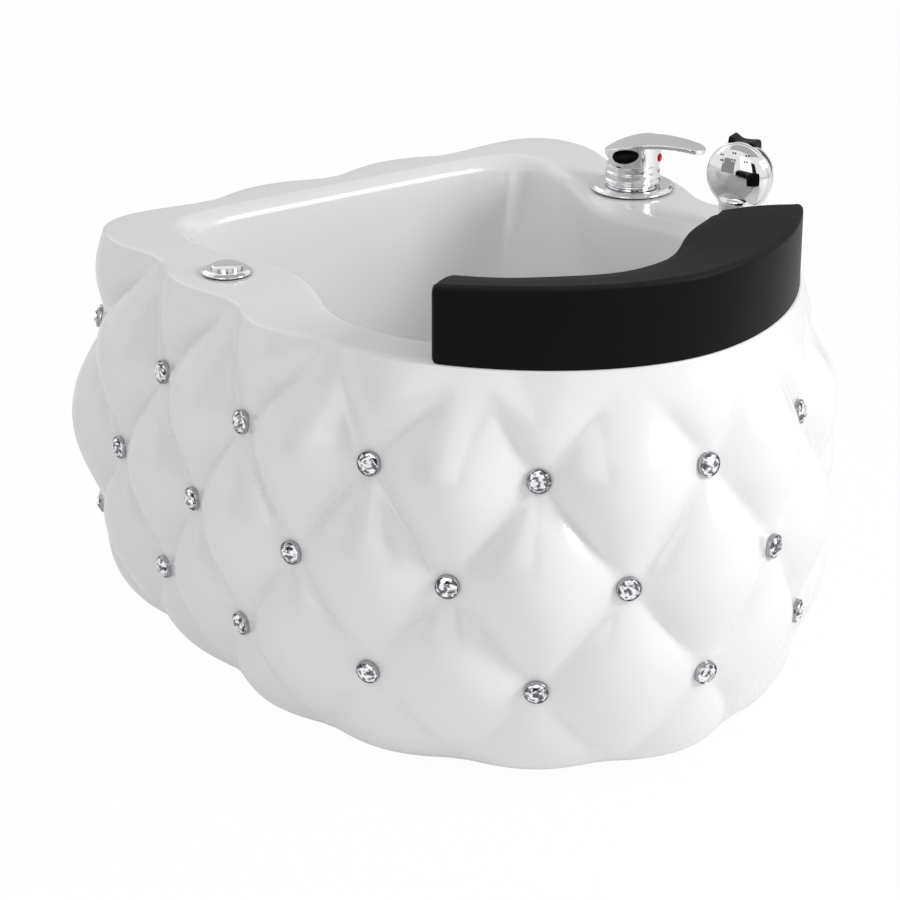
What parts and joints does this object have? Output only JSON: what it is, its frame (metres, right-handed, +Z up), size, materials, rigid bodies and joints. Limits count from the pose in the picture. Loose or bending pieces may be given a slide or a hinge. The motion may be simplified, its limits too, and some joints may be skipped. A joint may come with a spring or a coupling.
{
  "type": "pedicure foot basin",
  "caption": "Free-standing pedicure foot basin with a tufted shell, crystal studs, a leg rest, a lever mixer, a spray handset and an air button.",
  "frame": {"origin": "on the floor, under the middle of the rim", "axes": "+Z up, -Y towards the leg rest at the front, +X towards the mixer side, on the right of someone who looks from the front"},
  "size_m": [0.5842, 0.6473, 0.461],
  "materials": {
    "shell_gelcoat": "gloss gelcoat",
    "basin_gelcoat": "gloss gelcoat",
    "board": "sealed plywood",
    "foam_block": "rigid foam",
    "crystal": "faceted",
    "cup_metal": "polished",
    "pad_leather": "fine grained skin",
    "zinc_steel": "zinc plated",
    "rubber": "moulded",
    "chrome": "polished chrome",
    "brass": "turned",
    "cartridge_plastic": "moulded",
    "index_enamel": "red and blue enamel",
    "black_plastic": "moulded",
    "white_plastic": "moulded",
    "motor_case": "painted"
  },
  "bodies": {
    "tub": {"outer_shell": "shell_gelcoat", "basin_liner": "basin_gelcoat", "base_panel": "board", "basin_blocks": "foam_block", "crystals": "crystal", "crystal_cups": "cup_metal", "footrest_pad": "pad_leather", "pad_plate": "zinc_steel", "pad_studs": "zinc_steel", "pad_nuts": "zinc_steel", "tap_gasket": "rubber", "tap_flange": "chrome", "tap_body": "chrome", "tap_tails": "brass", "tap_shank_washer": "zinc_steel", "tap_shank_nut": "brass", "tap_cartridge": "cartridge_plastic", "tap_bonnet_nut": "brass", "spray_holder": "chrome", "spray_gasket": "rubber", "spray_holder_nut": "brass", "spray_holder_bush": "black_plastic", "air_button_body": "chrome", "air_button_gasket": "rubber", "air_button_nut": "white_plastic", "air_button_bellows": "rubber", "drain_body": "chrome", "drain_gasket": "rubber", "drain_lower_gasket": "rubber", "drain_nut": "white_plastic", "drain_tailpipe": "white_plastic", "jet_housing": "white_plastic", "jet_gasket": "rubber", "jet_nut": "white_plastic", "jet_axle": "zinc_steel", "jet_motor": "motor_case"},
    "tap_swivel": {"tap_spindle": "chrome", "tap_pivot_pin": "zinc_steel"},
    "tap_lever": {"tap_handle": "chrome", "tap_handle_screw": "zinc_steel", "tap_index_plug": "index_enamel"},
    "handset": {"handset_shell": "chrome", "handset_face": "chrome", "handset_hose_nut": "chrome", "handset_valve": "brass", "trigger_spring": "zinc_steel"},
    "trigger": {"handset_trigger": "black_plastic"},
    "button_cap": {"air_button_cap": "chrome"},
    "drain_plug": {"drain_plug": "chrome", "drain_plug_seal": "rubber"},
    "jet_cover": {"jet_cover": "white_plastic"},
    "impeller": {"jet_impeller": "white_plastic"},
    "rotor": {"jet_rotor": "zinc_steel"}
  },
  "joints": [
    {"name": "lever_swing", "type": "hinge", "parent": "tub", "child": "tap_swivel", "pos_m": [0.212, 0.092, 0.405], "axis": [0, 0, 1], "range_deg": [-45, 45]},
    {"name": "lever_lift", "type": "hinge", "parent": "tap_swivel", "child": "tap_lever", "pos_m": [0.212, 0.092, 0.4095], "axis": [-0.8339, -0.5519, 0], "range_deg": [0, 20]},
    {"name": "handset_lift", "type": "slide", "parent": "tub", "child": "handset", "axis": [0, 0, 1], "range_m": [0, 0.15]},
    {"name": "trigger_press", "type": "slide", "parent": "handset", "child": "trigger", "axis": [0, 0, -1], "range_m": [0, 0.003], "stiffness_N_per_m": 800, "springref_m": -0.002, "deforming": ["trigger_spring"]},
    {"name": "button_press", "type": "slide", "parent": "tub", "child": "button_cap", "axis": [0, 0, -1], "range_m": [0, 0.004], "stiffness_N_per_m": 900, "springref_m": -0.002, "deforming": ["air_button_bellows"]},
    {"name": "plug_pop", "type": "slide", "parent": "tub", "child": "drain_plug", "axis": [0, 0, 1], "range_m": [0, 0.008]},
    {"name": "jet_cover_pull", "type": "slide", "parent": "tub", "child": "jet_cover", "axis": [0.9659, -0.0014, 0.2588], "range_m": [0, 0.04]},
    {"name": "rotor_spin", "type": "hinge", "parent": "tub", "child": "rotor", "pos_m": [-0.15731, 0.03922, 0.225], "axis": [0.9659, -0.0014, 0.2588], "continuous": true},
    {"name": "impeller_spin", "type": "hinge", "parent": "tub", "child": "impeller", "pos_m": [-0.15731, 0.03922, 0.225], "axis": [0.9659, -0.0014, 0.2588], "continuous": true}
  ],
  "couplings": [
    {"joint": "impeller_spin", "follows": "rotor_spin", "ratio": 1}
  ]
}
